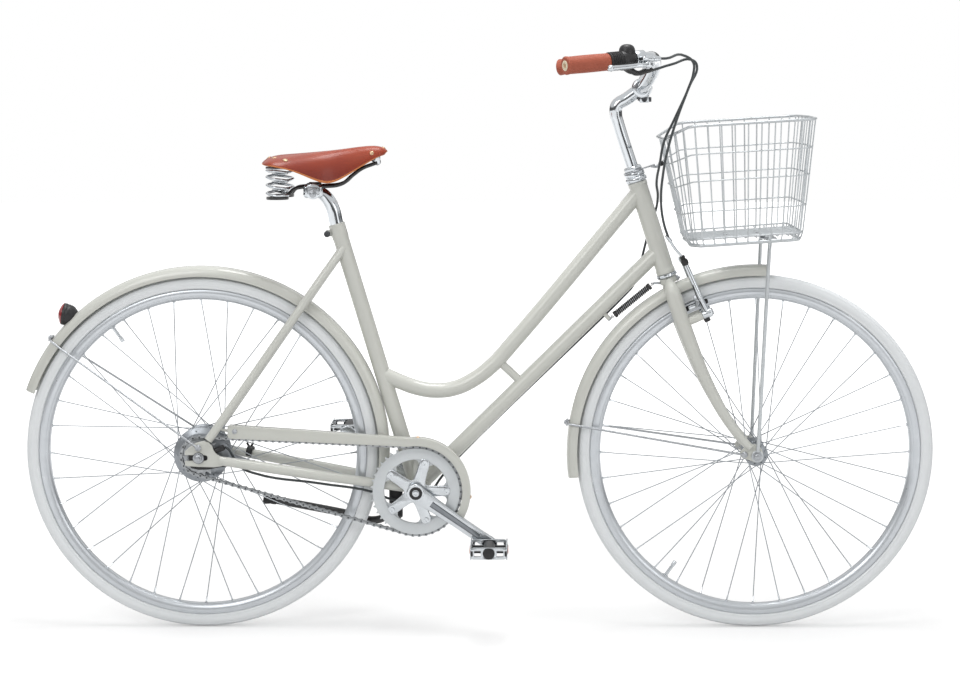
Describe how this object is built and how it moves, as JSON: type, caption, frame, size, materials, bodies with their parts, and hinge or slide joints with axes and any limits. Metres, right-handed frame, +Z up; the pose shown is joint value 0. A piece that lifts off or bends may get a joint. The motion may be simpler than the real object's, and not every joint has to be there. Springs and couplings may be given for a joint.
{
  "type": "step-through city bicycle",
  "caption": "Step-through city bicycle with swept bars, sprung leather saddle, mudguards, chain guard, hub gear and a wire basket over the front wheel.",
  "frame": {"origin": "on the ground, midway between the two axles and on the bicycle's middle plane", "axes": "+X forward along the wheelbase, +Y to the rider's left, +Z up; the chain side is at -Y"},
  "size_m": [1.7466, 0.6102, 1.12],
  "materials": {
    "enamel": "gloss pale grey enamel",
    "chrome": "chromed steel",
    "alloy": "polished aluminium",
    "steel": "bright zinc-plated steel",
    "dark_steel": "black-coated steel",
    "wire": "welded silver wire",
    "white_tyre": "matt off-white rubber",
    "black_rubber": "matt black rubber",
    "black_plastic": "satin black plastic",
    "brown_grip": "matt reddish-brown grip",
    "leather": "honey-brown leather",
    "red_lens": "clear red reflector lens"
  },
  "bodies": {
    "frame_body": {"frame": "enamel", "headset_lower_cup": "chrome", "headset_upper_cup": "chrome", "bottom_bracket_cartridge": "dark_steel", "rear_axle": "steel", "gear_shift_unit": "black_plastic", "rear_mudguard": "enamel", "rear_mudguard_stay": "steel", "rear_light_housing": "black_plastic", "rear_light_lens": "red_lens", "chain_guard": "enamel", "chain": "steel", "kickstand_mount": "dark_steel", "shift_cable": "black_plastic", "steering_spring": "dark_steel"},
    "steering_body": {"fork": "enamel", "headset_locknut": "chrome", "stem": "alloy", "handlebar": "alloy", "grip_left": "brown_grip", "grip_right": "brown_grip", "shifter_body": "black_plastic", "brake_lever_perch": "alloy", "front_brake_cable": "black_plastic", "front_mudguard": "enamel", "front_mudguard_stay": "steel", "front_axle": "steel", "basket_back": "wire", "basket_front": "wire", "basket_left": "wire", "basket_right": "wire", "basket_floor": "wire", "basket_bracket": "steel", "basket_stays": "steel"},
    "front_wheel": {"front_hub": "alloy", "front_rim": "alloy", "front_tyre": "white_tyre"},
    "rear_wheel": {"rear_hub": "alloy", "rear_rim": "alloy", "rear_tyre": "white_tyre"},
    "sprocket_body": {"rear_sprocket": "steel"},
    "cranks": {"crank_spindle": "steel", "crank_left": "alloy", "crank_right": "alloy", "chainring": "alloy"},
    "left_pedal_body": {"pedal_left": "black_plastic"},
    "right_pedal_body": {"pedal_right": "black_plastic"},
    "kickstand": {"kickstand_leg": "dark_steel", "kickstand_foot": "black_rubber"},
    "seat": {"seat_post": "chrome", "saddle_clamp": "alloy", "saddle_rails": "dark_steel", "saddle_spring_left": "chrome", "saddle_spring_right": "chrome"},
    "saddle_top": {"saddle_leather": "leather", "saddle_cantle_plate": "steel"},
    "twist_grip_body": {"twist_grip": "black_rubber"},
    "brake_lever_body": {"brake_lever": "alloy"},
    "brake_arm_left_body": {"brake_arm_left": "alloy"},
    "brake_arm_right_body": {"brake_arm_right": "alloy"}
  },
  "joints": [
    {"name": "steering", "type": "hinge", "parent": "frame_body", "child": "steering_body", "pos_m": [0.3594, 0, 0.6871], "axis": [-0.307, 0, 0.9517], "range_deg": [-60, 60], "stiffness_Nm_per_rad": 2, "deforming": ["shift_cable", "steering_spring"]},
    {"name": "front_wheel_spin", "type": "hinge", "parent": "steering_body", "child": "front_wheel", "pos_m": [0.53125, 0, 0.342], "axis": [0, 1, 0], "continuous": true},
    {"name": "rear_wheel_spin", "type": "hinge", "parent": "frame_body", "child": "rear_wheel", "pos_m": [-0.53125, 0, 0.342], "axis": [0, 1, 0], "continuous": true},
    {"name": "crank_spin", "type": "hinge", "parent": "frame_body", "child": "cranks", "pos_m": [-0.118, 0, 0.274], "axis": [0, 1, 0], "continuous": true, "deforming": ["chain"]},
    {"name": "sprocket_spin", "type": "hinge", "parent": "frame_body", "child": "sprocket_body", "pos_m": [-0.53125, 0, 0.342], "axis": [0, 1, 0], "continuous": true, "deforming": ["chain"]},
    {"name": "pedal_left_spin", "type": "hinge", "parent": "cranks", "child": "left_pedal_body", "pos_m": [-0.25776, 0.125, 0.37078], "axis": [0, 1, 0], "continuous": true},
    {"name": "pedal_right_spin", "type": "hinge", "parent": "cranks", "child": "right_pedal_body", "pos_m": [0.02176, -0.125, 0.17722], "axis": [0, 1, 0], "continuous": true},
    {"name": "kickstand_fold", "type": "hinge", "parent": "frame_body", "child": "kickstand", "pos_m": [-0.16, 0.012, 0.222], "axis": [0, 0.9933, 0.1152], "range_deg": [-115, 0]},
    {"name": "seat_post_slide", "type": "slide", "parent": "frame_body", "child": "seat", "axis": [-0.2843, 0, 0.9587], "range_m": [0, 0.05]},
    {"name": "saddle_sag", "type": "hinge", "parent": "seat", "child": "saddle_top", "pos_m": [-0.18999, 0, 0.89958], "axis": [0, -1, 0], "range_deg": [0, 4], "stiffness_Nm_per_rad": 900, "deforming": ["saddle_spring_left", "saddle_spring_right"]},
    {"name": "twist_grip_turn", "type": "hinge", "parent": "steering_body", "child": "twist_grip_body", "pos_m": [0.163, -0.29, 1.079], "axis": [-0.8777, -0.4726, -0.0786], "range_deg": [-60, 60]},
    {"name": "brake_lever_pull", "type": "hinge", "parent": "steering_body", "child": "brake_lever_body", "pos_m": [0.30931, -0.24756, 1.08074], "axis": [0, 0, 1], "range_deg": [-16, 0], "stiffness_Nm_per_rad": 1, "springref_deg": 5.73, "deforming": ["front_brake_cable"]},
    {"name": "brake_arm_left_swing", "type": "hinge", "parent": "steering_body", "child": "brake_arm_left_body", "pos_m": [0.432, 0.04, 0.612], "axis": [0.9164, 0, 0.4002], "range_deg": [0, 3.5]},
    {"name": "brake_arm_right_swing", "type": "hinge", "parent": "steering_body", "child": "brake_arm_right_body", "pos_m": [0.432, -0.04, 0.612], "axis": [0.9164, 0, 0.4002], "range_deg": [-3.5, 0], "deforming": ["front_brake_cable"]}
  ],
  "couplings": [
    {"joint": "sprocket_spin", "follows": "crank_spin", "ratio": 2.3333},
    {"joint": "brake_arm_left_swing", "follows": "brake_lever_pull", "ratio": -0.2125},
    {"joint": "brake_arm_right_swing", "follows": "brake_lever_pull", "ratio": 0.2125}
  ]
}
